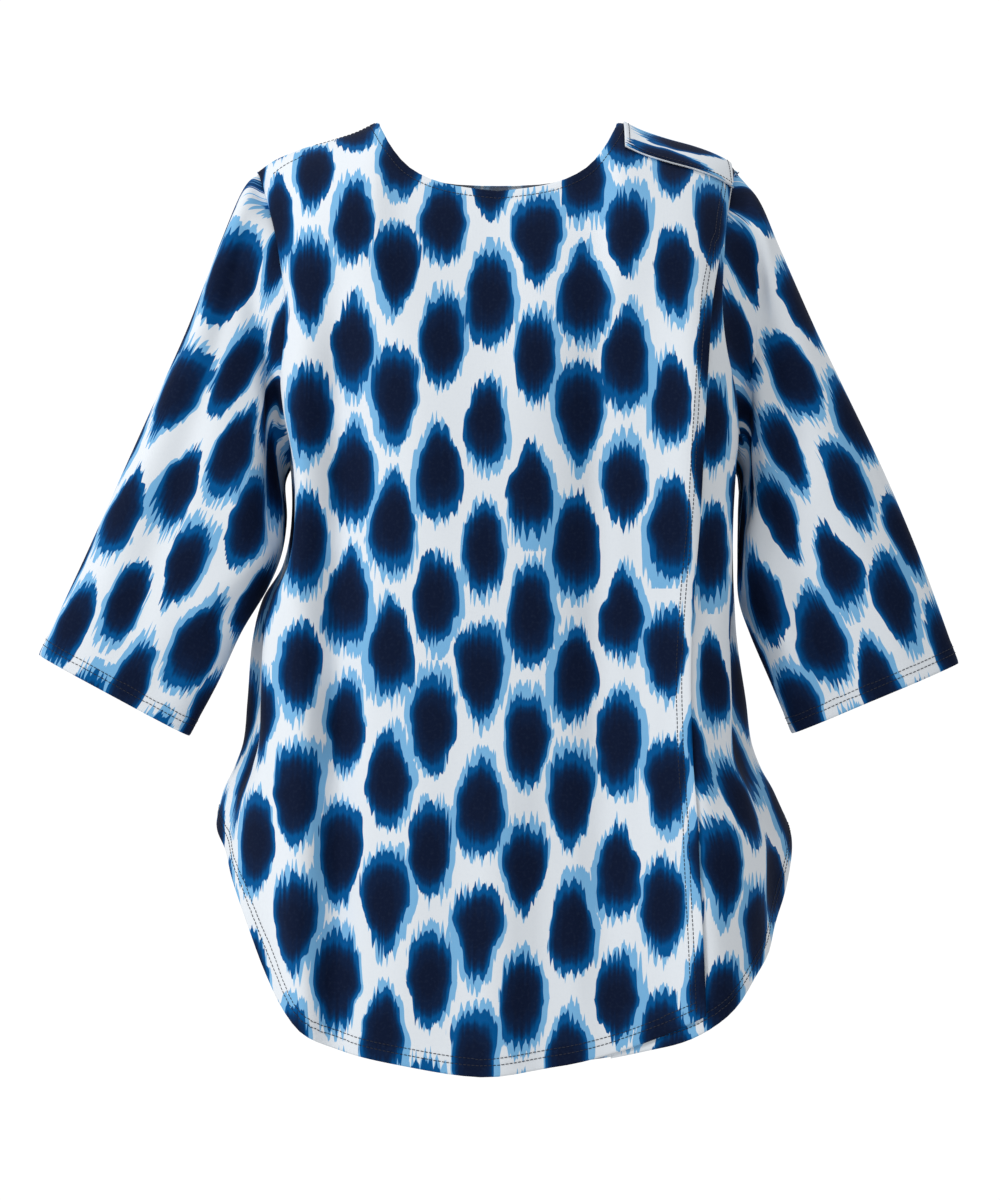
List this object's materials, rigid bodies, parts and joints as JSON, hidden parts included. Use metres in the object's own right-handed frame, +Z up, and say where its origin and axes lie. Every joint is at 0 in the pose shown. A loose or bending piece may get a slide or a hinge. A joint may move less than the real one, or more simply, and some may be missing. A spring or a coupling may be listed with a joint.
{
  "type": "high-low top",
  "caption": "Pullover knit top with scoop neck, three-quarter sleeves, a lapped side front, a shoulder flap and a curved hem longer at the back, filled out as worn.",
  "frame": {"origin": "midway between the shoulders, at the height of the middle of the shoulder seams, where the wearer holds the top up", "axes": "+Z up, -Y to the front of the garment, -X to the wearer's right"},
  "size_m": [0.7023, 0.2587, 0.7493],
  "materials": {
    "jersey": "matt printed stretch jersey, white ground with blue and navy spots",
    "flap_jersey": "the same jersey with its print turned sideways",
    "thread": "matt dark navy sewing thread"
  },
  "bodies": {
    "root": {"front_panel": "jersey", "underlap_panel": "jersey", "back_panel": "jersey", "sleeve_right": "jersey", "sleeve_left": "jersey", "shoulder_flap": "flap_jersey"}
  },
  "joints": []
}
